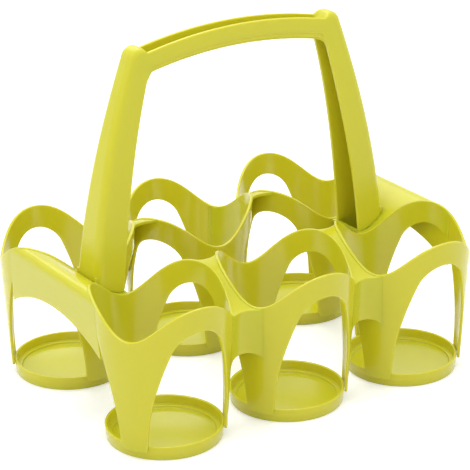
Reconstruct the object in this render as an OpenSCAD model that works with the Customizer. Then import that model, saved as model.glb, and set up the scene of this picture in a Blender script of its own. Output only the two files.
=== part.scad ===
// Six pack carrier: six waved sleeves over six trays, bridges, saddles and a lift handle.
// Millimetres, +Z up, X along the three cups of a row, origin under the middle of the base.

/* [Cups] */
// Outer radius of a sleeve 10 mm above the ground
sleeve_r = 44.3; // [40:0.1:50]
// Gap between neighbours in a row, 10 mm above the ground
cup_gap = 14.9; // [14:0.1:22]
// Gap between the two rows, 10 mm above the ground
row_gap = 45.5; // [41:0.5:60]
// Growth of the sleeve radius for each millimetre of height
flare = 0.060; // [0.03:0.005:0.065]
// Thickness of the sleeve wall
wall = 2.0; // [1.6:0.1:2.4]
// Middle height of the waved rim
rim_mid = 102.7; // [100:0.5:106]
// Height of the rim wave above and below its middle
rim_wave = 11.8; // [9:0.2:12.4]
// Sharpening of the rim wave at its low points
rim_sharp = 1.2; // [0:0.1:2]

/* [Windows] */
// Half width of a window at its straight foot
window_half = 32; // [29:0.5:33]
// Height of the straight foot of a window
window_base = 16; // [12:1:20]
// Height of the crown of a window
window_top = 96.3; // [88:0.1:97]
// Radius of the long sides of a window
side_r = 188; // [180:1:240]

/* [Trays] */
// Height of the tray rim
tray_h = 10.4; // [9:0.2:12]
// Thickness of the tray floor
tray_floor = 2.4; // [1.8:0.1:3]
// Wall thickness at the tray rim
tray_wall = 1.8; // [1.4:0.1:2.2]
// Height where the column feet end above the ground
foot_z = 6.5; // [5:0.5:8]

/* [Bridges and saddles] */
// Drop of the bridge top below the sleeve rims
bridge_drop = 0.7; // [0.4:0.1:1]
// Thickness of the bridge strip and its web
bridge_t = 2.2; // [1.8:0.1:2.6]
// Hollow radius of the outer web
web_r = 16; // [14.5:0.5:18]
// Radius of the notch at the inner end of a bridge
notch_r = 14; // [12:0.5:16]
// Height of the arch under the web
web_arch = 56; // [50:1:64]
// Thickness of the saddle panel
panel_t = 2.4; // [2:0.1:2.8]
// Height of the arch under the saddle panel
panel_arch = 84; // [78:0.5:85]
// Radius of the arch under the saddle panel
panel_r = 122; // [115:1:135]

/* [Handle] */
// Height of the grip above the ground
handle_top = 266.5; // [240:0.5:290]
// Height of the grip bar
bar_h = 16; // [15:0.5:18]
// Radius of the bow of the grip bar
bar_r = 340; // [320:5:400]
// Depth of the grip bar from front to back
bar_depth = 16.4; // [15.6:0.2:18]
// Depth of the leg foot from front to back
foot_depth = 29; // [26:0.5:30]
// Width of the leg foot along the carrier
foot_w = 23.8; // [22:0.2:25]
// Depth of a plug in its socket
plug_h = 24; // [18:1:26]
// Clearance around the plug
fit = 0.3; // [0.2:0.05:0.4]

/* [Hidden] */
$fn = 96;

lime = [0.72, 0.76, 0.16];
pitch_x = 2 * sleeve_r + cup_gap;
pitch_y = 2 * sleeve_r + row_gap;
cut_from = 20;
cut_length = sleeve_r - cut_from + 20;
tray_top_r = sleeve_r - 2.3;
tray_base_r = tray_top_r - 1.2;
rim_peak = rim_mid + rim_wave - rim_sharp;
rim_dip = rim_mid - rim_wave - rim_sharp;
rim_r = cup_r(rim_mid);

arch_h = window_top - window_base;
side_c = side_r - window_half;
crown_r = (window_half * (2 * side_r - window_half) - pow(arch_h, 2)) / (2 * (side_r - arch_h));
crown_z = window_top - crown_r;
side_top = window_base + (crown_z - window_base) * side_r / (side_r - crown_r);
foot_half = cup_r(foot_z) * sin(60 - asin(window_half / cup_r(foot_z)));

web_c = sqrt(pow(cup_r(rim_dip) + web_r - 0.12, 2) - pow(pitch_x / 2, 2));
notch_c = sqrt(pow(cup_r(rim_peak) + notch_r - 0.5, 2) - pow(pitch_x / 2, 2));
web_turn = asin(web_c / (cup_r(rim_dip) + web_r));
notch_turn = asin(notch_c / (cup_r(rim_peak) + notch_r));

panel_in = 0.3;
saddle_drop = 0.4;
saddle_tail = 2.5;
seat_z = rim_dip + 0.3;

foot_in = pitch_x - 1.1;
foot_out = foot_in + foot_w;
leg_r_out = 627;
leg_r_in = 783.7;
leg_out_c = [foot_out - sqrt(pow(leg_r_out, 2) - pow(seat_z - 35.9, 2)), 35.9];
leg_in_c = [foot_in - sqrt(pow(leg_r_in, 2) - pow(seat_z - 26.9, 2)), 26.9];
bar_c = [0, handle_top - bar_r];
under_r = bar_r - bar_h;
leg_wall = 2.5;
cap_r = 8;
cap_z = handle_top - 12.5;
cap_x = leg_out_c[0] + sqrt(pow(leg_r_out - cap_r, 2) - pow(cap_z - leg_out_c[1], 2));
trough_half = cap_x - 6;
trough_w = bar_depth / 2 - 2.6;
turn_r = 9;
flare_low = seat_z - 5;
flare_high = handle_top - 4.5;
plug_from = foot_in + 1.2;
plug_to = foot_out - 1.5;
plug_half = foot_depth / 2 - 1.2;
plug_side = 1.3;
plug_web = 2;
plug_over = 14;
leg_side = plug_side + 1.2;
socket_wall = 2.3;

// Outer radius of a sleeve at a height
function cup_r(z) = sleeve_r + flare * (z - 10);

// Height of the rim at an angle from one of its peaks
function rim_z(a) = rim_mid + rim_wave * cos(3 * a) - rim_sharp * cos(6 * a);

// Point of the rim seen along the row, at an angle from the row line
function rim_side(a, drop) = [cup_r(rim_z(a - 30)) * sin(a), rim_z(a - 30) - drop];

// Point of the outer end rim of a right cup seen from the front
function crown(a) = [pitch_x + cup_r(rim_z(a - 30)) * cos(a), rim_z(a - 30) - saddle_drop];

// The same point moved into the material
function crown_in(a) = let (d = crown(a + 1) - crown(a - 1)) crown(a) + panel_t * [-d[1], d[0]] / norm(d);

// Right-hand crossing point of two circles
function meet(p, r, q, s) = let (d = norm(q - p), a = (r * r - s * s + d * d) / (2 * d), u = (q - p) / d,
                                 h = sqrt(r * r - a * a)) p + a * u + h * [-u[1], u[0]];

// Turns a drawing of width and height upright, running along X
module along_x(length, centered = false) {
    rotate([90, 0, 90])
        linear_extrude(length, center = centered)
            children();
}

// Turns a drawing of width and height upright, running along Y
module along_y(length) {
    rotate([90, 0, 0])
        linear_extrude(length, center = true)
            children();
}

// Places a part in the front row, or mirrored in the back row
module in_row(i, back = false) {
    mirror([0, back ? 1 : 0, 0])
        translate([i * pitch_x, -pitch_y / 2, 0])
            children();
}

// Outer shape of a sleeve as a solid cone
module cup_cone(grow = 0) {
    cylinder(h = 130, r1 = cup_r(0) + grow, r2 = cup_r(130) + grow);
}

// Window drawing: straight foot, long curved sides and a round crown
module window_drawing() {
    translate([0, crown_z])
        circle(crown_r);
    intersection() {
        translate([-side_c, window_base])
            circle(side_r);
        translate([side_c, window_base])
            circle(side_r);
        translate([-window_half, window_base])
            square([2 * window_half, side_top - window_base]);
    }
    translate([-window_half, -1])
        square([2 * window_half, window_base + 1]);
}

// Space above the waved rim around one low point
module rim_space() {
    points = [for (i = [0:30]) [rim_r * sin(4 * i - 60), rim_z(4 * i)]];
    polygon(concat(points, [[rim_r - 3, rim_peak], [rim_r - 3, rim_peak + 9],
                            [3 - rim_r, rim_peak + 9], [3 - rim_r, rim_peak]]));
}

// Material taken off both lower corners of a column foot
module foot_corners() {
    for (side = [0, 1])
        mirror([side, 0])
            difference() {
                translate([foot_half - 3, foot_z - 1])
                    square([6, 4]);
                translate([foot_half - 3, foot_z + 3])
                    circle(3);
            }
}

// Waved sleeve standing on three columns
module sleeve() {
    color(lime)
        difference() {
            rotate_extrude()
                polygon([[tray_base_r + 1.2 * foot_z / tray_h, foot_z], [cup_r(foot_z), foot_z],
                         [cup_r(rim_peak), rim_peak], [cup_r(rim_peak) - wall, rim_peak],
                         [cup_r(tray_h) - wall, tray_h], [tray_top_r, tray_h]]);
            for (turn = [-90, 30, 150])
                rotate(turn)
                    translate([cut_from, 0, 0])
                        along_x(cut_length)
                            window_drawing();
            for (turn = [-30, 90, 210])
                rotate(turn)
                    translate([cut_from, 0, 0])
                        along_x(cut_length) {
                            rim_space();
                            foot_corners();
                        }
        }
}

// Round tray that closes a sleeve from below
module tray() {
    color(lime)
        rotate_extrude()
            polygon([[0, 0], [tray_base_r - 0.6, 0], [tray_base_r, 0.6], [tray_top_r, tray_h],
                     [tray_top_r - tray_wall, tray_h], [tray_top_r - tray_wall - 0.8, 4],
                     [tray_top_r - tray_wall - 3.8, 4], [tray_top_r - tray_wall - 3.8, tray_floor],
                     [0, tray_floor]]);
}

// Side drawing of the strip that follows the rim between two neighbours
module strip_drawing() {
    from = 0.5 - web_turn;
    step = (notch_turn - from) / 24;
    top = [for (i = [0:24]) rim_side(from + i * step, bridge_drop)];
    low = [for (i = [24:-1:0]) rim_side(from + i * step, bridge_drop + bridge_t + 0.4)];
    polygon(concat(top, low));
}

// Bridge between two neighbours of a row, with its outer web
module bridge() {
    web_top = rim_dip - bridge_drop - 1;
    edge = cup_r(rim_dip) * sin(web_turn) - 0.4;
    slope = flare * 130;
    color(lime)
        difference() {
            union() {
                along_x(40, true)
                    strip_drawing();
                intersection() {
                    translate([0, -web_c, 0])
                        cylinder(h = web_top, r1 = web_r + bridge_t + flare * rim_dip,
                                 r2 = web_r + bridge_t + flare * (rim_dip - web_top));
                    translate([-20, -edge, 30])
                        cube([40, edge, 80]);
                }
            }
            for (side = [-1, 1])
                translate([side * pitch_x / 2, 0, 0])
                    cup_cone();
            translate([0, -web_c, 0])
                cylinder(h = 130, r1 = web_r + flare * rim_dip, r2 = web_r + flare * rim_dip - slope);
            translate([0, notch_c, 60])
                cylinder(h = 70, r = notch_r);
            along_y(200)
                web_arch_drawing();
        }
}

// Arch under the web
module web_arch_drawing() {
    translate([0, web_arch - 14.1])
        circle(14.1);
    translate([-20, 0])
        square([40, web_arch - 7.5]);
}

// Front drawing of the saddle: a panel that turns over the rim line
module saddle_drawing() {
    first = acos(1 - panel_in / rim_r);
    step = (90 - first) / 24;
    out = [for (i = [0:24]) crown(first + i * step)];
    back = [for (i = [24:-1:0]) crown_in(first + i * step)];
    foot = pitch_x + cup_r(58) - panel_in;
    tail = crown(90) - [saddle_tail, 0];
    polygon(concat([[foot - panel_t, 58], [foot, 58]], out,
                   [tail, tail - [0, panel_t]], back));
}

// Saddle between the two end cups, with the socket of the handle
module saddle() {
    color(lime)
        difference() {
            union() {
                difference() {
                    along_y(pitch_y - 8)
                        saddle_drawing();
                    translate([pitch_x + 30, 0, 0])
                        along_x(30)
                            translate([0, panel_arch - panel_r])
                                circle(panel_r);
                }
                socket_block(plug_h + 1 - seat_z + crown(90)[1]);
                intersection() {
                    socket_block(plug_h + 20);
                    along_y(60)
                        saddle_space(0);
                }
                translate([foot_in + 0.2, 0.2 - foot_depth / 2, seat_z - 6])
                    cube([10, foot_depth - 0.4, 6]);
            }
            for (side = [-1, 1])
                translate([pitch_x, side * pitch_y / 2, 0])
                    cup_cone();
            plug_block(fit, 60);
            translate([pitch_x - 10, -foot_depth / 2 - fit, seat_z])
                cube([19, foot_depth + 2 * fit, 20]);
        }
}

// Block of the plug, with room around it for the socket
module plug_block(room, height) {
    translate([plug_from - room, -plug_half - room, seat_z - plug_h - 2 * room])
        cube([plug_to - plug_from + 2 * room, 2 * (plug_half + room), height + 2 * room]);
}

// Block of the socket, from under the plug up to a height
module socket_block(height) {
    room = fit + socket_wall;
    translate([plug_from - room, -plug_half - room, seat_z - plug_h - 1])
        cube([plug_to - plug_from + 2 * room, 2 * (plug_half + room), height]);
}

// Channel plug under a foot, open towards the hand
module plug() {
    difference() {
        plug_block(0, plug_h + plug_over);
        translate([plug_from - 1, plug_side - plug_half, seat_z - plug_h - 1])
            cube([plug_to - plug_web - plug_from + 1, 2 * (plug_half - plug_side), plug_h + plug_over + 2]);
    }
}

// Two mirrored drawings
module both_sides() {
    for (side = [0, 1])
        mirror([side, 0])
            children();
}

// Everything inside both leg curves
module between_legs(center, radius) {
    intersection() {
        translate(center)
            circle(radius);
        translate([-center[0], center[1]])
            circle(radius);
    }
}

// Hand opening with rounded upper corners
module hand_opening() {
    turn = meet(bar_c, under_r - turn_r, leg_in_c, leg_r_in - turn_r);
    corner = meet(bar_c, under_r, leg_in_c, leg_r_in);
    difference() {
        intersection() {
            between_legs(leg_in_c, leg_r_in);
            translate(bar_c)
                circle(under_r);
        }
        both_sides()
            difference() {
                polygon([turn, bar_c + (turn - bar_c) * under_r / (under_r - turn_r),
                         corner + (corner - turn) * 0.2,
                         leg_in_c + (turn - leg_in_c) * leg_r_in / (leg_r_in - turn_r)]);
                translate(turn)
                    circle(turn_r);
            }
    }
}

// Space of the saddle under a foot, raised by a clearance
module saddle_space(up) {
    points = [for (a = [30:3:90]) crown(a) + [0, up]];
    polygon(concat([[pitch_x + 60, 20], crown(30) + [60, up]], points, [[pitch_x, 20]]));
}

// Front drawing of the handle frame
module handle_drawing() {
    difference() {
        union() {
            intersection() {
                between_legs(leg_out_c, leg_r_out);
                translate(bar_c)
                    circle(bar_r);
                translate([-foot_out - 20, seat_z])
                    square([2 * foot_out + 40, handle_top]);
            }
            both_sides()
                intersection() {
                    translate([cap_x, cap_z])
                        circle(cap_r);
                    translate([trough_half, cap_z - 6])
                        square(30);
                }
        }
        hand_opening();
        both_sides()
            difference() {
                polygon([[cap_x, cap_z], [cap_x, cap_z + 30], [cap_x + 40, cap_z + 30], [cap_x + 40, cap_z]]);
                translate([cap_x, cap_z])
                    circle(cap_r);
            }
        both_sides()
            saddle_space(saddle_drop + fit);
    }
}

// Half depth of the handle at a height: deep at the feet, slim at the bar
function half_depth(z) = let (u = max(0, min(1, (z - flare_low) / (flare_high - flare_low))))
    bar_depth / 2 + (foot_depth - bar_depth) * (1 + cos(180 * u)) / 4;

// Side drawing of the handle, less a wall on each side
module depth_drawing(less) {
    heights = concat([0], [for (i = [0:20]) flare_low + i * (flare_high - flare_low) / 20], [handle_top + 20]);
    right = [for (z = heights) [half_depth(z) - less, z]];
    left = [for (i = [len(heights) - 1:-1:0]) [less - half_depth(heights[i]), heights[i]]];
    polygon(concat(right, left));
}

// Channel drawing of both legs, open towards the hand
module channel_drawing() {
    difference() {
        intersection() {
            between_legs(leg_out_c, leg_r_out - leg_wall);
            translate(bar_c)
                circle(under_r + 0.6);
            translate([-foot_out, seat_z - 1])
                square([2 * foot_out, handle_top]);
        }
        translate([-cap_x + 18, 0])
            square([2 * cap_x - 36, 300]);
    }
}

// Trough drawing of the grip bar, open upwards
module trough_drawing() {
    intersection() {
        difference() {
            circle(bar_r + 20);
            circle(under_r + leg_wall);
        }
        translate([-trough_half, 0])
            square([2 * trough_half, bar_r + 20]);
    }
}

// Drawing of the rounded belly under the grip
module belly_drawing() {
    intersection() {
        translate(bar_c)
            circle(under_r + 4.8);
        translate([-cap_x + 13, cap_z - 20])
            square([2 * cap_x - 26, 40]);
    }
}

// Lift handle with two channel legs, a trough bar and two plugs
module handle() {
    color(lime)
        difference() {
            union() {
                difference() {
                    intersection() {
                        along_y(40)
                            handle_drawing();
                        along_x(400, true)
                            depth_drawing(0);
                    }
                    intersection() {
                        along_y(40)
                            channel_drawing();
                        along_x(400, true)
                            depth_drawing(leg_side);
                    }
                }
                for (side = [0, 1])
                    mirror([side, 0, 0])
                        plug();
            }
            translate([0, 0, bar_c[1]])
                along_y(2 * trough_w)
                    trough_drawing();
            for (side = [-1, 1])
                translate([0, side * (bar_depth / 2 + 4), 0])
                    along_y(10)
                        belly_drawing();
        }
}

sleeve_front_left();
sleeve_front_middle();
sleeve_front_right();
sleeve_back_left();
sleeve_back_middle();
sleeve_back_right();
tray_front_left();
tray_front_middle();
tray_front_right();
tray_back_left();
tray_back_middle();
tray_back_right();
bridge_front_left();
bridge_front_right();
bridge_back_left();
bridge_back_right();
saddle_left();
saddle_right();
handle();

module sleeve_front_left() { in_row(-1) sleeve(); }
module sleeve_front_middle() { in_row(0) sleeve(); }
module sleeve_front_right() { in_row(1) sleeve(); }
module sleeve_back_left() { in_row(-1, true) sleeve(); }
module sleeve_back_middle() { in_row(0, true) sleeve(); }
module sleeve_back_right() { in_row(1, true) sleeve(); }
module tray_front_left() { in_row(-1) tray(); }
module tray_front_middle() { in_row(0) tray(); }
module tray_front_right() { in_row(1) tray(); }
module tray_back_left() { in_row(-1, true) tray(); }
module tray_back_middle() { in_row(0, true) tray(); }
module tray_back_right() { in_row(1, true) tray(); }
module bridge_front_left() { in_row(-0.5) bridge(); }
module bridge_front_right() { in_row(0.5) bridge(); }
module bridge_back_left() { in_row(-0.5, true) bridge(); }
module bridge_back_right() { in_row(0.5, true) bridge(); }
module saddle_left() { mirror([1, 0, 0]) saddle(); }
module saddle_right() { saddle(); }
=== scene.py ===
"""Six pack carrier in lime plastic: sleeves, trays, bridges, saddles and a lift handle."""

from math import acos, asin, cos, pi, radians, sin, sqrt

import bmesh
import bpy
from mathutils import Matrix, Vector


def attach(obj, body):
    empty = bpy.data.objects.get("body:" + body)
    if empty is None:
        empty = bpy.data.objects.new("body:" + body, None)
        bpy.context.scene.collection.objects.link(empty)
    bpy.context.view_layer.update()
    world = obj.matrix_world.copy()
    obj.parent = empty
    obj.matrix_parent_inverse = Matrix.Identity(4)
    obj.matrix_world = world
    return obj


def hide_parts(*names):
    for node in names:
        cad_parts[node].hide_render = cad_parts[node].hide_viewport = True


bl_info = {
    "name": "Six Pack Carrier",
    "version": (1, 0, 0),
    "blender": (4, 5, 0),
    "location": "3D View > Sidebar > Carrier",
    "description": "Models a moulded drink carrier with a bow handle, and a pale studio around it",
    "category": "Add Mesh",
}

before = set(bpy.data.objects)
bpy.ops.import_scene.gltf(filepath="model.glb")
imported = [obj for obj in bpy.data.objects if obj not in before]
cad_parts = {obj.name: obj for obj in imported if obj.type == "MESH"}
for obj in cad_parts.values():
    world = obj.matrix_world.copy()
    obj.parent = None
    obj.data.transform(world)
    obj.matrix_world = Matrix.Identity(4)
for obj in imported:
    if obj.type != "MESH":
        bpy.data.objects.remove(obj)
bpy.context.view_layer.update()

# Shape of the moulding, in metres
GAUGE_Z = 0.010  # height at which the sleeve radius is measured
RIM_SHARP = 0.0012  # sharpening of the rim wave at its low points
FOOT_Z = 0.0065  # height at which the column feet end
SUNK = 0.0006  # depth that bridges and saddles reach into a sleeve
SADDLE_DROP = 0.0004  # saddles below the rim line
SEAT_LIFT = 0.0003  # seat of the handle above the low points of the rim
PLUG_NEAR, PLUG_FAR = 0.0001, 0.0212  # both sides of a plug, outwards of the end cups' middle
PLUG_HALF = 0.0133  # half the width of a plug, across the carrier

# Angles of the crests and low points of the rim
CREST_TURN = radians(30)
DIP_TURN = pi / 3

# Roughness where smoothest and dullest, relief of the skin, share of the colour; the polished share
# darkens the same plastic colour, painted shade
FINISHES_AND_SHADE = {"polished": (0.16, 0.22, 0.02, 0.955), "satin": (0.27, 0.35, 0.06, 1)}
SMOOTH_ANGLE = radians(42)

THREE_CUPS = (("left", -1), ("middle", 0), ("right", 1))
TWO_GAPS = (("left", -0.5), ("right", 0.5))

# Name, place, size and power of each lamp
LAMPS = (
    ("key_lamp", (-1.7, -0.4, 1.2), 1.0, 5),
    ("front_lamp", (0.3, -1.9, 1.0), 1.4, 2),
    ("back_lamp", (0.4, 1.6, 1.8), 1.4, 8),
    ("top_lamp", (0.0, 0.2, 2.2), 1.6, 21),
)
LAMP_TARGET = (0, 0, 0.10)
WORLD_LIGHT = 0.82
FLOOR_GLOW = 0.40

# The camera of the photograph
CAMERA_TURN, CAMERA_RISE, CAMERA_ROLL = radians(-33.057), radians(21.582), radians(-0.508)
CAMERA_TARGET = (0.00032, 0, 0.10459)
CAMERA_DISTANCE = 1.5784
CAMERA_LENS = 165.09


class CarrierSizes(bpy.types.PropertyGroup):
    """Sizes of the carrier, in metres"""

    pitch_x: bpy.props.FloatProperty(
        name="Cup pitch", description="Distance between cup centres along a row",
        default=0.1035, unit="LENGTH",
    )
    pitch_y: bpy.props.FloatProperty(
        name="Row pitch", description="Distance between the two rows",
        default=0.1341, unit="LENGTH",
    )
    sleeve_r: bpy.props.FloatProperty(
        name="Sleeve radius", description="Outer radius 10 mm above the ground",
        default=0.0443, unit="LENGTH",
    )
    flare: bpy.props.FloatProperty(
        name="Flare", description="Growth of the sleeve radius with height",
        default=0.060,
    )
    wall: bpy.props.FloatProperty(
        name="Wall", description="Thickness of the sleeve wall",
        default=0.002, unit="LENGTH",
    )
    rim_mid: bpy.props.FloatProperty(
        name="Rim height", description="Middle height of the waved rim",
        default=0.1027, unit="LENGTH",
    )
    rim_wave: bpy.props.FloatProperty(
        name="Rim wave", description="Height of the wave above and below its middle",
        default=0.0118, unit="LENGTH",
    )
    handle_top: bpy.props.FloatProperty(
        name="Handle height", description="Height of the grip above the ground",
        default=0.2665, unit="LENGTH",
    )


class CarrierColours(bpy.types.PropertyGroup):
    """Colours of the carrier and its studio"""

    plastic: bpy.props.FloatVectorProperty(
        name="Plastic", description="Colour of the moulded plastic",
        subtype="COLOR", size=3, default=(0.632, 0.610, 0.023),
    )
    floor: bpy.props.FloatVectorProperty(
        name="Floor", description="Colour of the studio floor",
        subtype="COLOR", size=3, default=(0.80, 0.80, 0.80),
    )


def sizes():
    return bpy.context.scene.carrier_sizes


def cup_r(z):
    """Outer radius of a sleeve at a height."""
    s = sizes()
    return s.sleeve_r + s.flare * (z - GAUGE_Z)


def rim_z(a):
    """Height of the rim at an angle from one of its crests, in radians."""
    s = sizes()
    return s.rim_mid + s.rim_wave * cos(3 * a) - RIM_SHARP * cos(6 * a)


def seat_z():
    """Height at which the handle sits on the saddles."""
    return rim_z(DIP_TURN) + SEAT_LIFT


def mix(a, b, t):
    """The value at a share of the way from a to b."""
    return a + (b - a) * t


def smooth(t):
    """The same share with a soft start and end, kept from 0 to 1."""
    t = min(1.0, max(0.0, t))
    return t * t * (3 - 2 * t)


def along(points, t):
    """Point at a share of the length of a drawn line."""
    lengths = [0.0]
    for p, q in zip(points, points[1:]):
        lengths.append(lengths[-1] + sqrt(sum((b - a) ** 2 for a, b in zip(p, q))))
    want = t * lengths[-1]
    for i in range(len(points) - 1):
        if want <= lengths[i + 1] or i == len(points) - 2:
            span = lengths[i + 1] - lengths[i] or 1.0
            k = (want - lengths[i]) / span
            return tuple(mix(a, b, k) for a, b in zip(points[i], points[i + 1]))


def meet(p, r, q, s):
    """Crossing of two circles on the left of the way from the first centre to the second."""
    p, q = Vector(p), Vector(q)
    d = (q - p).length
    a = (r * r - s * s + d * d) / (2 * d)
    u = (q - p) / d
    h = sqrt(max(0.0, r * r - a * a))
    return p + a * u + h * Vector((-u.y, u.x))


def deselect():
    if bpy.context.object and bpy.context.object.mode != "OBJECT":
        bpy.ops.object.mode_set(mode="OBJECT")
    bpy.ops.object.select_all(action="DESELECT")


def activate(obj):
    deselect()
    obj.select_set(True)
    bpy.context.view_layer.objects.active = obj


def sheet(name, columns, rows, place):
    """A grid whose points are set by place(u, v), both from 0 to 1."""
    deselect()
    bpy.ops.mesh.primitive_grid_add(
        x_subdivisions=columns, y_subdivisions=rows, size=2, location=(0, 0, 0)
    )
    obj = bpy.context.object
    obj.name = name
    for vertex in obj.data.vertices:
        vertex.co = place((vertex.co.x + 1) / 2, (vertex.co.y + 1) / 2)
    return obj


def modify(obj, kind, **settings):
    """Adds a modifier with these settings and applies it."""
    activate(obj)
    bpy.ops.object.modifier_add(type=kind)
    modifier = obj.modifiers[-1]
    for key, value in settings.items():
        setattr(modifier, key, value)
    bpy.ops.object.modifier_apply(modifier=modifier.name)


def soften(obj, width, segments, angle=40):
    """Rounds the edges that are sharper than an angle in degrees."""
    modify(
        obj, "BEVEL",
        width=width, segments=segments, limit_method="ANGLE", angle_limit=radians(angle),
    )


def pick_faces(obj, test):
    """Selects the faces that pass the test, in edit mode."""
    bpy.ops.mesh.select_all(action="DESELECT")
    shape = bmesh.from_edit_mesh(obj.data)
    for face in shape.faces:
        face.select = test(face)
    shape.select_flush(True)
    bmesh.update_edit_mesh(obj.data)


def sink(depth):
    """Extrudes the picked faces straight down."""
    bpy.ops.mesh.extrude_region_move(TRANSFORM_OT_translate={"value": (0, 0, -depth)})


def scale_flat(factor):
    """Scales what is picked about the upright axis."""
    bpy.ops.transform.resize(value=(factor, factor, 1), center_override=(0, 0, 0))


def block(name, centre, span):
    """A box of this span round a centre."""
    deselect()
    bpy.ops.mesh.primitive_cube_add(size=1, location=centre)
    obj = bpy.context.object
    obj.name = name
    obj.scale = span
    bpy.ops.object.transform_apply(location=True, scale=True)
    return obj


def combine(obj, other, operation):
    """Unites, intersects or cuts the object with another one."""
    modify(obj, "BOOLEAN", operation=operation, object=other, solver="EXACT")
    if not obj.data.polygons:
        raise RuntimeError(f"nothing is left of {obj.name}")


def join(obj, other):
    """Makes the other mesh part of the object."""
    activate(obj)
    other.select_set(True)
    bpy.ops.object.join()


def merge(obj, distance=0.00002):
    """Welds points that meet and turns the faces outwards."""
    activate(obj)
    bpy.ops.object.mode_set(mode="EDIT")
    bpy.ops.mesh.select_all(action="SELECT")
    bpy.ops.mesh.remove_doubles(threshold=distance)
    bpy.ops.mesh.normals_make_consistent(inside=False)
    bpy.ops.object.mode_set(mode="OBJECT")


def face_towards(obj, test):
    """Turns the whole sheet round if most of its faces fail the test."""
    good = sum(1 for p in obj.data.polygons if test(p.center, p.normal))
    if good * 2 < len(obj.data.polygons):
        obj.data.flip_normals()


def copy_to(source, name, matrix):
    """A copy with its own mesh, moved in its mesh."""
    obj = source.copy()
    obj.data = source.data.copy()
    obj.name = name
    obj.data.name = name
    bpy.context.collection.objects.link(obj)
    obj.data.transform(matrix)
    obj.data.update()
    return obj


def copy_to_rows(model, shape, node, columns, turned=True):
    """Copies a model to both rows, half turned in the back one, and removes the model."""
    s = sizes()
    for row, side in (("front", -1), ("back", 1)):
        for name, i in columns:
            move = Matrix.Translation((i * s.pitch_x, side * s.pitch_y / 2, 0))
            if turned and row == "back":
                move = move @ Matrix.Rotation(pi, 4, "Z")
            piece = copy_to(model, f"{shape}_{row}_{name}", move)
            finish_piece(piece, "basket", f"{node}_{row}_{name}")
    bpy.data.objects.remove(model)


def finish_piece(obj, body, node, finish="polished"):
    """Gives the piece its finish and its body, and hides the CAD node it stands for."""
    activate(obj)
    bpy.ops.object.transform_apply(location=True, rotation=True, scale=True)
    bpy.ops.object.shade_smooth_by_angle(angle=SMOOTH_ANGLE)
    obj.data.materials.clear()
    obj.data.materials.append(plastic(finish))
    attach(obj, body)
    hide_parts(node)


def plastic(finish):
    """Moulded lime plastic, polished or satin, with faint mottling and a fine skin; the polished
    copy is a little darker, painted shade.
    """
    found = bpy.data.materials.get(f"lime_plastic_{finish}")
    if found:
        return found
    smoothest, dullest, relief, share = FINISHES_AND_SHADE[finish]
    material = bpy.data.materials.new(f"lime_plastic_{finish}")
    material.use_nodes = True
    nodes, links = material.node_tree.nodes, material.node_tree.links
    nodes.clear()
    # Polished pieces take a darker share of the plastic colour: painted shade on the same plastic,
    # not a different colour
    red, green, blue = (share * part for part in bpy.context.scene.carrier_colours.plastic)
    output = nodes.new("ShaderNodeOutputMaterial")
    shader = nodes.new("ShaderNodeBsdfPrincipled")
    links.new(shader.outputs["BSDF"], output.inputs["Surface"])
    place = nodes.new("ShaderNodeTexCoord")
    cloud = nodes.new("ShaderNodeTexNoise")
    cloud.inputs["Scale"].default_value = 9.0
    cloud.inputs["Detail"].default_value = 3.0
    links.new(place.outputs["Object"], cloud.inputs["Vector"])
    tint = nodes.new("ShaderNodeMix")
    tint.data_type = "RGBA"
    tint.inputs["A"].default_value = (red * 0.985, green * 0.98, blue * 0.9, 1)
    tint.inputs["B"].default_value = (min(1, red * 1.015), min(1, green * 1.02), blue * 1.1, 1)
    links.new(cloud.outputs["Fac"], tint.inputs["Factor"])
    links.new(tint.outputs["Result"], shader.inputs["Base Color"])
    grain = nodes.new("ShaderNodeTexNoise")
    grain.inputs["Scale"].default_value = 140.0
    grain.inputs["Detail"].default_value = 4.0
    links.new(place.outputs["Object"], grain.inputs["Vector"])
    gloss = nodes.new("ShaderNodeMapRange")
    gloss.inputs["To Min"].default_value = smoothest
    gloss.inputs["To Max"].default_value = dullest
    links.new(grain.outputs["Fac"], gloss.inputs["Value"])
    links.new(gloss.outputs["Result"], shader.inputs["Roughness"])
    skin = nodes.new("ShaderNodeBump")
    skin.inputs["Strength"].default_value = relief
    skin.inputs["Distance"].default_value = 0.0004
    links.new(grain.outputs["Fac"], skin.inputs["Height"])
    links.new(skin.outputs["Normal"], shader.inputs["Normal"])
    shader.inputs["IOR"].default_value = 1.48
    shader.inputs["Subsurface Weight"].default_value = 0.5
    shader.inputs["Subsurface Radius"].default_value = (1.0, 0.68, 0.20)
    shader.inputs["Subsurface Scale"].default_value = 0.004
    return material


def window_outline():
    """Half outline of a window as (angle, height), from its foot up to its crown."""
    half, base, top, side = 0.032, 0.016, 0.0963, 0.188
    corner = 0.003
    corner_steps, foot_steps, side_steps, crown_steps = 8, 5, 60, 40
    rise = top - base
    crown_r = (half * (2 * side - half) - rise * rise) / (2 * (side - rise))
    crown_z = top - crown_r
    points = []
    foot_r = cup_r(FOOT_Z)
    edge = asin(half / foot_r)
    for i in range(corner_steps + 1):
        turn = pi / 2 * (1 - i / corner_steps)
        a = edge + (corner - corner * cos(turn)) / foot_r
        points.append((a, FOOT_Z + corner * (1 - sin(turn))))
    for i in range(1, foot_steps + 1):
        z = mix(FOOT_Z + corner, base, i / foot_steps)
        points.append((asin(half / cup_r(z)), z))
    tangent_z = base + (crown_z - base) * side / (side - crown_r)
    for i in range(1, side_steps + 1):
        z = mix(base, tangent_z, i / side_steps)
        t = sqrt(side * side - (z - base) ** 2) - (side - half)
        points.append((asin(t / cup_r(z)), z))
    start = asin((tangent_z - crown_z) / crown_r)
    for i in range(1, crown_steps + 1):
        turn = mix(start, pi / 2, i / crown_steps)
        t, z = crown_r * cos(turn), crown_z + crown_r * sin(turn)
        points.append((asin(max(0.0, t) / cup_r(z)), z))
    return points


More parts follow.
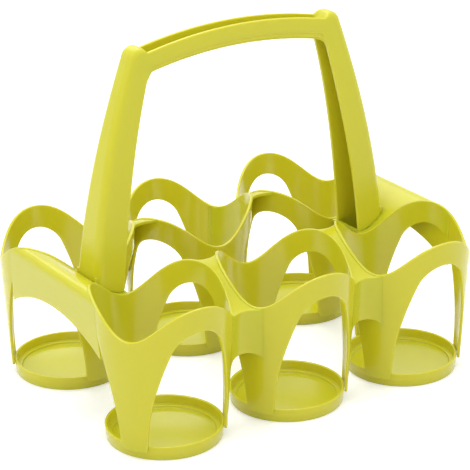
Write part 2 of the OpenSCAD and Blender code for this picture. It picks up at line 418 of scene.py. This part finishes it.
class CARRIER_OT_sleeves(bpy.types.Operator):
    """Models one waved sleeve with three windows and copies it to the six cups"""

    bl_idname = "carrier.sleeves"
    bl_label = "Sleeves"

    def execute(self, context):
        mean_r, columns = 0.047, 120
        shoulder, knee = 0.75, 0.55
        shares = [0, 0.1, 0.25, 0.42, 0.6, 0.78, 0.92, 1]
        dip = rim_z(DIP_TURN)
        scaled = [(a * mean_r, z) for a, z in window_outline()]

        def outer(q):
            """Outer border of one third: up between two windows, then along the rim."""
            if q < shoulder:
                return DIP_TURN, mix(FOOT_Z, dip, q / shoulder)
            a = DIP_TURN * (1 - (q - shoulder) / (1 - shoulder))
            return a, rim_z(a)

        def place(u, v):
            """Point of one third, from its window out to its border."""
            side = -1 if u < 0.5 else 1
            w = 1 - abs(2 * u - 1)
            if w < knee:
                q = mix(0, shoulder, w / knee)
            else:
                q = mix(shoulder, 1, (w - knee) / (1 - knee))
            a0, z0 = along(scaled, q)
            a0 /= mean_r
            a1, z1 = outer(q)
            k = v * (len(shares) - 1)
            i = min(int(k + 1e-6), len(shares) - 2)
            t = mix(shares[i], shares[i + 1], k - i)
            a, z = mix(a0, a1, t), mix(z0, z1, t)
            turn = CREST_TURN + side * a
            r = cup_r(z)
            return Vector((r * cos(turn), r * sin(turn), z))

        sleeve = sheet("sleeve", columns, len(shares) - 1, place)
        bpy.ops.object.mode_set(mode="EDIT")
        bpy.ops.mesh.select_all(action="SELECT")
        for _ in range(2):
            bpy.ops.mesh.duplicate()
            bpy.ops.transform.rotate(
                value=radians(-120), orient_axis="Z", center_override=(0, 0, 0)
            )
        bpy.ops.object.mode_set(mode="OBJECT")
        merge(sleeve)
        face_towards(sleeve, lambda c, n: c.x * n.x + c.y * n.y > 0)
        modify(sleeve, "SOLIDIFY", thickness=sizes().wall, offset=-1, use_even_offset=True)
        soften(sleeve, 0.00045, 2, 50)
        copy_to_rows(sleeve, "waved_sleeve", "sleeve", THREE_CUPS)
        return {"FINISHED"}


class CARRIER_OT_trays(bpy.types.Operator):
    """Models one round tray by insets and copies it under the six sleeves"""

    bl_idname = "carrier.trays"
    bl_label = "Trays"

    def execute(self, context):
        top, height, ledge, floor = sizes().sleeve_r - 0.0023, 0.0104, 0.0040, 0.0024
        taper, wall, ring = 0.0012, 0.0018, 0.0030
        wall_draft, ring_draft = 0.982, 0.988
        deselect()
        bpy.ops.mesh.primitive_cylinder_add(
            vertices=144, radius=top, depth=height, location=(0, 0, height / 2)
        )
        tray = context.object
        bpy.ops.object.transform_apply(location=True)
        bpy.ops.object.mode_set(mode="EDIT")
        pick_faces(tray, lambda face: face.normal.z < -0.9)
        scale_flat((top - taper) / top)
        pick_faces(tray, lambda face: face.normal.z > 0.9)
        bpy.ops.mesh.inset(thickness=wall)
        sink(height - ledge)
        scale_flat(wall_draft)
        bpy.ops.mesh.inset(thickness=ring)
        sink(ledge - floor)
        scale_flat(ring_draft)
        bpy.ops.object.mode_set(mode="OBJECT")
        soften(tray, 0.0005, 3, 30)
        copy_to_rows(tray, "round_tray", "tray", THREE_CUPS, turned=False)
        return {"FINISHED"}


def rim_height_at(y):
    """Height of the rim over a distance from the row line, beside a neighbour."""
    z = rim_z(-CREST_TURN)
    for _ in range(12):
        z = rim_z(asin(max(-1.0, min(1.0, y / cup_r(z)))) - CREST_TURN)
    return z


class CARRIER_OT_bridges(bpy.types.Operator):
    """Models one bridge with its concave web and copies it between the neighbours of both rows"""

    bl_idname = "carrier.bridges"
    bl_label = "Bridges"

    def execute(self, context):
        s = sizes()
        half = s.pitch_x / 2
        dip, crest = rim_z(DIP_TURN), rim_z(0)
        drop = 0.0007
        web_r, notch_r = 0.016, 0.014
        web_sunk, notch_sunk, web_short = 0.00012, 0.0005, 0.0004
        arch_top, arch_r, arch_reach, arch_foot = 0.056, 0.0141, 0.0139, 0.0485
        strip_share, fold_z = 0.6, 0.0885
        thickness, fold_r, edge_r = 0.0022, 0.0022, 0.0005
        web_c = sqrt((cup_r(dip) + web_r - web_sunk) ** 2 - half**2)
        notch_c = sqrt((cup_r(crest) + notch_r - notch_sunk) ** 2 - half**2)
        web_end = cup_r(dip) * web_c / (cup_r(dip) + web_r) - web_short
        notch_end = cup_r(crest) * notch_c / (cup_r(crest) + notch_r)

        def gap(y, z):
            """Half the way between two neighbours, at a depth and a height."""
            r = cup_r(z) - SUNK
            return half - sqrt(max(0.0, r * r - y * y))

        def strip_end(j, centre, r, sign, limit, z):
            """Depth at which line j of the strip meets the notch or the web, by iteration."""
            y = sign * limit * 0.8
            for _ in range(30):
                x = min(abs(j) * gap(y, z), r * 0.98)
                y = centre * sign - sign * sqrt(r * r - x * x)
                y = max(-limit, min(limit, y))
            return y

        def top_point(j, t):
            """Point of the strip, from the notch to the web."""
            y0 = strip_end(j, notch_c, notch_r, 1, notch_end, crest - 0.001)
            y1 = strip_end(j, web_c, web_r, -1, web_end, dip)
            y = mix(y0, y1, t)
            z = rim_height_at(y)
            return Vector((j * gap(y, z), y, z - drop))

        def arch_z(x):
            """Height at which the arch ends the web."""
            lift = arch_r**2 - min(abs(x), arch_reach) ** 2
            return max(arch_foot, arch_top - arch_r + sqrt(lift))

        def web_point(j, t):
            """Point of the web, from the strip down to the arch."""
            edge = top_point(j, 1.0)
            z = mix(edge.z, arch_z(edge.x * 1.1), t)
            r = web_r + s.flare * (dip - z)
            d = sqrt(half * half + web_c * web_c)
            big = cup_r(z) - 0.0001
            a = (big * big - r * r + d * d) / (2 * d)
            h = sqrt(max(0.0, big * big - a * a))
            ux, uy = -half / d, -web_c / d
            x = half + a * ux + h * uy
            turn = asin(min(1.0, abs(x) / r)) * 1.02
            return Vector((r * sin(j * turn), -web_c + r * cos(j * turn), z))

        def place(u, v):
            j = 2 * u - 1
            if v > strip_share + 0.0001:
                return web_point(j, (v - strip_share) / (1 - strip_share))
            return top_point(j, min(1.0, v / strip_share))

        bridge = sheet("bridge", 24, 50, place)
        merge(bridge)
        face_towards(bridge, lambda c, n: n.z * (c.z > fold_z) - n.y * (c.z <= fold_z) > 0)
        soften(bridge, fold_r, 4, 55)
        modify(bridge, "SOLIDIFY", thickness=thickness, offset=-1, use_even_offset=True)
        soften(bridge, edge_r, 2, 60)
        copy_to_rows(bridge, "ruled_bridge", "bridge", TWO_GAPS)
        return {"FINISHED"}


def crown(a):
    """Point of the end rim seen from the front, at an angle from the row line."""
    s = sizes()
    z = rim_z(a - CREST_TURN)
    return s.pitch_x + cup_r(z) * cos(a), z - SADDLE_DROP


def under_crest(lift, lowest, side=1):
    """A block of all that lies under the line of an end rim, with some room on both sides."""
    s = sizes()
    outwards, inwards, width, height = 0.05, 0.010, 0.06, 0.06
    crest = [crown(radians(a)) for a in range(28, 91, 2)]
    crest = [(x, max(z + lift, lowest)) for x, z in crest]
    crest.insert(0, (crest[0][0] + outwards, crest[0][1]))
    crest.append((s.pitch_x - inwards, crest[-1][1]))
    last = len(crest) - 1

    def place(u, v):
        x, z = crest[round(u * last)]
        return Vector((side * x, width * v - width / 2, z))

    region = sheet("under_crest", last, 1, place)
    bpy.ops.object.mode_set(mode="EDIT")
    bpy.ops.mesh.select_all(action="SELECT")
    sink(height)
    bpy.ops.object.mode_set(mode="OBJECT")
    merge(region)
    return region


def plug_block(name, room, low, high, side=1):
    """The outline of a plug grown by some room, between two heights."""
    s = sizes()
    near, far = s.pitch_x + PLUG_NEAR - room, s.pitch_x + PLUG_FAR + room
    centre = (side * (near + far) / 2, 0, (low + high) / 2)
    return block(name, centre, (far - near, 2 * (PLUG_HALF + room), high - low))


class CARRIER_OT_saddles(bpy.types.Operator):
    """Models one end saddle with its arch and socket and copies it to the other end"""

    bl_idname = "carrier.saddles"
    bl_label = "Saddles"

    def execute(self, context):
        s = sizes()
        seat = seat_z()
        steps, inset, tail, edge_in = 60, 0.0003, 0.0025, 0.0012
        arch_top, arch_r = 0.084, 0.122
        panel_share, panel_half, thickness = 0.35, 0.0616, 0.0024
        first = acos(1 - inset / cup_r(s.rim_mid))
        turn_z = crown(first)[1]
        over = []
        for i in range(steps + 1):
            a = mix(first, pi / 2, i / steps)
            x, z = crown(a)
            over.append((x, z, s.pitch_y / 2 - (cup_r(z) - SUNK) * sin(a)))
        over.append((over[-1][0] - tail, over[-1][1], over[-1][2] + 0.00005))

        def arch_z(y):
            """Height of the wide arch under the panel."""
            return arch_top - arch_r + sqrt(arch_r**2 - y * y)

        def place(u, v):
            """Point of the upright panel, or of the part that turns over the rim line."""
            j = 2 * u - 1
            if v < panel_share:
                t = v / panel_share
                z = mix(arch_z(j * panel_half), turn_z, t)
                x = s.pitch_x + cup_r(z) - inset
                edge = s.pitch_y / 2 - sqrt((cup_r(z)) ** 2 - (x - s.pitch_x) ** 2) + edge_in
                y = mix(edge, over[0][2], t)
            else:
                x, z, y = along(over, (v - panel_share) / (1 - panel_share))
            return Vector((x, j * y, z))

        saddle = sheet("saddle", 64, 60, place)
        merge(saddle)
        face_towards(saddle, lambda c, n: n.z + n.x > 0)
        modify(saddle, "SOLIDIFY", thickness=thickness, offset=-1, use_even_offset=True)
        soften(saddle, 0.0006, 2, 60)

        # The socket, a pad ring round its mouth, and what is cut for the plug and the foot
        socket_room, socket_depth, socket_above = 0.0026, 0.025, 0.020
        hole_room, hole_depth, hole_above = 0.0003, 0.0246, 0.030
        pad_x, pad_span = 0.0041, (0.0100, 0.0286, 0.006)
        nest_x, nest_span = 0.0005, (0.019, 0.0296, 0.020)
        socket = plug_block("socket", socket_room, seat - socket_depth, seat + socket_above)
        soften(socket, 0.0008, 2)
        region = under_crest(-0.0002, 0.0)
        combine(socket, region, "INTERSECT")
        bpy.data.objects.remove(region)
        pad = block("pad", (s.pitch_x + pad_x, 0, seat - pad_span[2] / 2), pad_span)
        hole = plug_block("hole", hole_room, seat - hole_depth, seat + hole_above)
        nest = block("nest", (s.pitch_x - nest_x, 0, seat + nest_span[2] / 2), nest_span)
        for cutter in (hole, nest):
            for target in (saddle, socket):
                combine(target, cutter, "DIFFERENCE")
        combine(pad, hole, "DIFFERENCE")
        bpy.data.objects.remove(hole)
        bpy.data.objects.remove(nest)
        join(saddle, socket)
        join(saddle, pad)
        for name, turn in (("right", 0), ("left", pi)):
            piece = copy_to(saddle, f"end_saddle_{name}", Matrix.Rotation(turn, 4, "Z"))
            finish_piece(piece, "basket", f"saddle_{name}")
        bpy.data.objects.remove(saddle)
        return {"FINISHED"}


class CARRIER_OT_handle(bpy.types.Operator):
    """Models the bow handle: channel legs, a trough bar with a rounded belly, and two plugs"""

    bl_idname = "carrier.handle"
    bl_label = "Handle"

    def execute(self, context):
        s = sizes()
        seat = seat_z()
        leg_steps, turn_steps, bar_steps = 40, 12, 36
        leg_wall, trough_side, trough_floor = 0.0025, 0.0026, 0.0027
        bar_half, foot_more, flare_below, flare_end = 0.0082, 0.0063, 0.005, 0.0045

        # Circles of the bow seen from the front: both sides of a leg, the bar and its turns
        foot_in = s.pitch_x - 0.0011
        foot_out = foot_in + 0.0238
        r_out, r_in = 0.6270, 0.7837
        out_z, in_z = 0.0359, 0.0269
        out_c = (foot_out - sqrt(r_out**2 - (seat - out_z) ** 2), out_z)
        in_c = (foot_in - sqrt(r_in**2 - (seat - in_z) ** 2), in_z)
        bar_r, bar_h = 0.340, 0.016
        bar_c = (0.0, s.handle_top - bar_r)
        under_r = bar_r - bar_h
        cap_r, cap_z = 0.008, s.handle_top - 0.0125
        cap_x = out_c[0] + sqrt((r_out - cap_r) ** 2 - (cap_z - out_c[1]) ** 2)
        turn_r = 0.009
        turn_c = meet(in_c, r_in - turn_r, bar_c, under_r - turn_r)
        low = seat - 0.006

        def leg(centre, r, top):
            """One side of a leg, from below its seat up to a height."""
            heights = [mix(low, top, i / leg_steps) for i in range(leg_steps + 1)]
            return [(centre[0] + sqrt(r * r - (z - centre[1]) ** 2), z) for z in heights]

        def on_bar(r, x):
            """Point of the bar's outer or inner circle."""
            return x, bar_c[1] + sqrt(r * r - x * x)

        outer = leg(out_c, r_out, cap_z - 0.0006)
        trough = cap_x - 0.0060
        cap_end = asin((trough + 0.0028 - cap_x) / cap_r)
        for i in range(1, turn_steps + 1):
            turn = mix(0.02, pi / 2 - cap_end, i / turn_steps)
            outer.append((cap_x + cap_r * cos(turn), cap_z + cap_r * sin(turn)))
        leg_outer = len(outer)
        outer += [on_bar(bar_r, trough * (1 - i / bar_steps)) for i in range(bar_steps + 1)]

        turn_low = turn_c + (turn_c - Vector(in_c)) * turn_r / (r_in - turn_r)
        turn_high = turn_c + (turn_c - Vector(bar_c)) * turn_r / (under_r - turn_r)
        inner = leg(in_c, r_in, turn_low.y)
        start = turn_low - turn_c
        sweep = start.angle_signed(turn_high - turn_c)
        for i in range(1, turn_steps + 1):
            spun = start.copy()
            spun.rotate(Matrix.Rotation(-sweep * i / turn_steps, 2))
            inner.append((turn_c.x + spun.x, turn_c.y + spun.y))
        under_steps = bar_steps + 1
        inner += [
            on_bar(under_r, mix(turn_high.x, 0, i / under_steps)) for i in range(1, under_steps + 1)
        ]

        def half_depth(z):
            """Half the depth of the bow at a height, from the flared feet to the bar."""
            span = s.handle_top - flare_end - seat + flare_below
            t = min(1.0, max(0.0, (z - seat + flare_below) / span))
            return bar_half + foot_more * (1 + cos(pi * t)) / 2

        def quarter(r):
            """Seven points of a quarter circle, as (sine, cosine) times its radius."""
            turns = [pi / 2 * k / 6 for k in range(7)]
            return [(r * sin(turn), r * cos(turn)) for turn in turns]

        def section(o, n, w, bar, d_in, d_out):
            """Outline across the bow from its inner point n to its outer point o.

            w is half its depth, bar goes from 0 in a leg to 1 in the bar, and d_in and
            d_out are the depths of the leg's channel and of the bar's trough.
            """
            deep = (o - n).length
            up = (o - n) / deep
            step_h = mix(0.0, 0.0048, bar)
            recess = mix(0.0, 0.0009, bar)
            r_low = mix(0.0004, 0.0036, bar)
            if d_out:
                r_top = mix(0.0060, 0.0008, smooth((bar - 0.6) / 0.4))
            else:
                r_top = mix(0.0060, 0.004, bar)
            r_top = min(r_top, w * 0.66)
            in_w = mix(w - leg_wall, w - recess - r_low - 0.0002, bar)
            out_w = mix(w - r_top - 0.0002, w - trough_side, 1.0 if d_out else 0.0)
            out_w = min(out_w, w - r_top * 0.95)
            chamfer = 0.0008
            wide = w - recess
            # Inside of the channel, rounded lower edge and step of the belly, outer side,
            # rounded upper edge, and inside of the trough
            pts = [
                (0.0, d_in),
                (in_w * 0.5, d_in),
                (in_w - chamfer, d_in),
                (in_w, max(0.0, d_in - chamfer)),
                (in_w, d_in * 0.5),
                (in_w, min(d_in, 0.0005)),
                (in_w + 0.0002 * (d_in > 0.001), 0.0),
            ]
            pts += [(wide - r_low + a, r_low - b) for a, b in quarter(r_low)]
            pts += [
                (wide, max(step_h - 0.0002, r_low + 0.0001)),
                (mix(wide, w, 0.7), max(step_h, r_low + 0.0002)),
                (w, max(step_h + 0.0005, r_low + 0.0006)),
                (w, deep * 0.5),
            ]
            pts += [(w - r_top + b, deep - r_top + a) for a, b in quarter(r_top)]
            pts += [
                (out_w + 0.0004 * (d_out > 0), deep),
                (out_w, deep - min(d_out, 0.0004)),
                (out_w, deep - d_out * 0.5),
                (out_w, deep - max(0.0, d_out - 0.002)),
                (out_w - 0.002, deep - d_out),
                (0.0, deep - d_out),
            ]
            full = pts + [(-q, p) for q, p in reversed(pts[1:-1])]
            return [Vector((n.x + up.x * p, q, n.y + up.y * p)) for q, p in full]

        # The channel fades out and the bar's section fades in over these stations
        channel_from, channel_over, bar_from, bar_over = 43, 5, 44, 9
        loops = []
        for i, (o, n) in enumerate(zip(map(Vector, outer), map(Vector, inner))):
            bar = smooth((i - bar_from) / bar_over)
            open_leg = 1 - smooth((i - channel_from) / channel_over)
            deep = (o - n).length
            d_in = (deep - leg_wall) * open_leg
            d_out = 0.0 if i < leg_outer else (deep - trough_floor)
            loops.append(section(o, n, half_depth(n.y), bar, d_in, d_out))
        loops += [[Vector((-v.x, v.y, v.z)) for v in loop] for loop in reversed(loops[:-1])]
        ring, last = len(loops[0]), len(loops) - 1

        def place(u, v):
            return loops[round(v * last)][round(u * ring) % ring]

        handle = sheet("bow_handle", ring, last, place)
        merge(handle, 0.000004)
        bpy.ops.object.mode_set(mode="EDIT")
        bpy.ops.mesh.select_all(action="SELECT")
        bpy.ops.mesh.fill_holes(sides=0)
        bpy.ops.mesh.normals_make_consistent(inside=False)
        bpy.ops.object.mode_set(mode="OBJECT")

        # The feet end on the saddles, and a plug open to the channel goes on below each
        plug_depth, plug_above = 0.024, 0.014
        bore_x, bore_z, bore_span = 0.0091, 0.005, (0.0202, 0.0242, 0.060)
        for side in (1, -1):
            region = under_crest(0.00015, seat, side)
            combine(handle, region, "DIFFERENCE")
            bpy.data.objects.remove(region)
        for side in (1, -1):
            plug = plug_block("plug", 0, seat - plug_depth, seat + plug_above, side)
            centre = (side * (s.pitch_x + bore_x), 0, seat - bore_z)
            bore = block("bore", centre, bore_span)
            combine(plug, bore, "DIFFERENCE")
            bpy.data.objects.remove(bore)
            combine(handle, plug, "UNION")
            bpy.data.objects.remove(plug)
        finish_piece(handle, "grip", "handle", "satin")
        return {"FINISHED"}


def seen_rays(nodes, links):
    """One for camera, glossy and transmission rays, and zero for the rest."""
    path = nodes.new("ShaderNodeLightPath")
    value = path.outputs["Is Camera Ray"]
    for other in ("Is Glossy Ray", "Is Transmission Ray"):
        either = nodes.new("ShaderNodeMath")
        either.operation = "MAXIMUM"
        links.new(value, either.inputs[0])
        links.new(path.outputs[other], either.inputs[1])
        value = either.outputs[0]
    return value


class CARRIER_OT_stage(bpy.types.Operator):
    """Adds a pale floor, soft light and the camera at the photograph's angle"""

    bl_idname = "carrier.stage"
    bl_label = "Stage"

    def execute(self, context):
        scene = context.scene
        scene.view_settings.view_transform = "Standard"
        deselect()
        bpy.ops.mesh.primitive_plane_add(size=8, location=(0, 0, -0.0002))
        floor = context.object
        floor.name = "studio_floor"
        bpy.ops.object.transform_apply(location=True)
        floor.data.materials.append(self.floor_material())
        self.world(scene)
        for name, place, size, power in LAMPS:
            bpy.ops.object.light_add(type="AREA", location=place)
            lamp = context.object
            lamp.name = name
            lamp.data.size = size
            lamp.data.energy = power
            aim = Vector(LAMP_TARGET) - Vector(place)
            lamp.rotation_euler = aim.to_track_quat("-Z", "Y").to_euler()
        flat = cos(CAMERA_RISE)
        back = Vector((sin(CAMERA_TURN) * flat, -cos(CAMERA_TURN) * flat, sin(CAMERA_RISE)))
        bpy.ops.object.camera_add(location=Vector(CAMERA_TARGET) + back * CAMERA_DISTANCE)
        camera = context.object
        camera.name = "photo_camera"
        look = back.to_track_quat("Z", "Y").to_matrix()
        camera.rotation_euler = (look @ Matrix.Rotation(CAMERA_ROLL, 3, "Z")).to_euler()
        camera.data.lens = CAMERA_LENS
        camera.data.sensor_width = 36
        camera.data.clip_start = 0.05
        camera.data.clip_end = 30
        scene.camera = camera
        return {"FINISHED"}

    def floor_material(self):
        material = bpy.data.materials.new("pale_floor")
        material.use_nodes = True
        nodes, links = material.node_tree.nodes, material.node_tree.links
        nodes.clear()
        output = nodes.new("ShaderNodeOutputMaterial")
        matte = nodes.new("ShaderNodeBsdfDiffuse")
        matte.inputs["Color"].default_value = (*bpy.context.scene.carrier_colours.floor, 1)
        glow = nodes.new("ShaderNodeEmission")
        scale = nodes.new("ShaderNodeMath")
        scale.operation = "MULTIPLY"
        scale.inputs[1].default_value = FLOOR_GLOW
        links.new(seen_rays(nodes, links), scale.inputs[0])
        links.new(scale.outputs[0], glow.inputs["Strength"])
        both = nodes.new("ShaderNodeAddShader")
        links.new(matte.outputs["BSDF"], both.inputs[0])
        links.new(glow.outputs["Emission"], both.inputs[1])
        links.new(both.outputs["Shader"], output.inputs["Surface"])
        return material

    def world(self, scene):
        world = bpy.data.worlds.new("studio")
        scene.world = world
        world.use_nodes = True
        nodes, links = world.node_tree.nodes, world.node_tree.links
        nodes.clear()
        output = nodes.new("ShaderNodeOutputWorld")
        light = nodes.new("ShaderNodeBackground")
        light.inputs["Color"].default_value = (1, 1, 1, 1)
        light.inputs["Strength"].default_value = WORLD_LIGHT
        white = nodes.new("ShaderNodeBackground")
        white.inputs["Color"].default_value = (1, 1, 1, 1)
        white.inputs["Strength"].default_value = 1.0
        choose = nodes.new("ShaderNodeMixShader")
        links.new(seen_rays(nodes, links), choose.inputs["Fac"])
        links.new(light.outputs["Background"], choose.inputs[1])
        links.new(white.outputs["Background"], choose.inputs[2])
        links.new(choose.outputs["Shader"], output.inputs["Surface"])


OPERATORS = (
    CARRIER_OT_trays,
    CARRIER_OT_sleeves,
    CARRIER_OT_bridges,
    CARRIER_OT_saddles,
    CARRIER_OT_handle,
    CARRIER_OT_stage,
)


class CARRIER_PT_panel(bpy.types.Panel):
    """Sidebar panel with the sizes, the colours and the steps"""

    bl_idname = "CARRIER_PT_panel"
    bl_label = "Six Pack Carrier"
    bl_space_type = "VIEW_3D"
    bl_region_type = "UI"
    bl_category = "Carrier"

    def draw(self, context):
        layout = self.layout
        for group in (context.scene.carrier_sizes, context.scene.carrier_colours):
            box = layout.box()
            for name in group.bl_rna.properties.keys():
                if name not in ("rna_type", "name"):
                    box.prop(group, name)
        for operator in OPERATORS:
            layout.operator(operator.bl_idname)


CLASSES = (CarrierSizes, CarrierColours, *OPERATORS, CARRIER_PT_panel)


def register():
    for item in CLASSES:
        bpy.utils.register_class(item)
    bpy.types.Scene.carrier_sizes = bpy.props.PointerProperty(type=CarrierSizes)
    bpy.types.Scene.carrier_colours = bpy.props.PointerProperty(type=CarrierColours)


def unregister():
    del bpy.types.Scene.carrier_sizes
    del bpy.types.Scene.carrier_colours
    for item in reversed(CLASSES):
        bpy.utils.unregister_class(item)


def main():
    register()
    bpy.ops.carrier.stage()
    bpy.ops.carrier.trays()
    bpy.ops.carrier.sleeves()
    bpy.ops.carrier.bridges()
    bpy.ops.carrier.saddles()
    bpy.ops.carrier.handle()


if __name__ == "__main__":
    main()
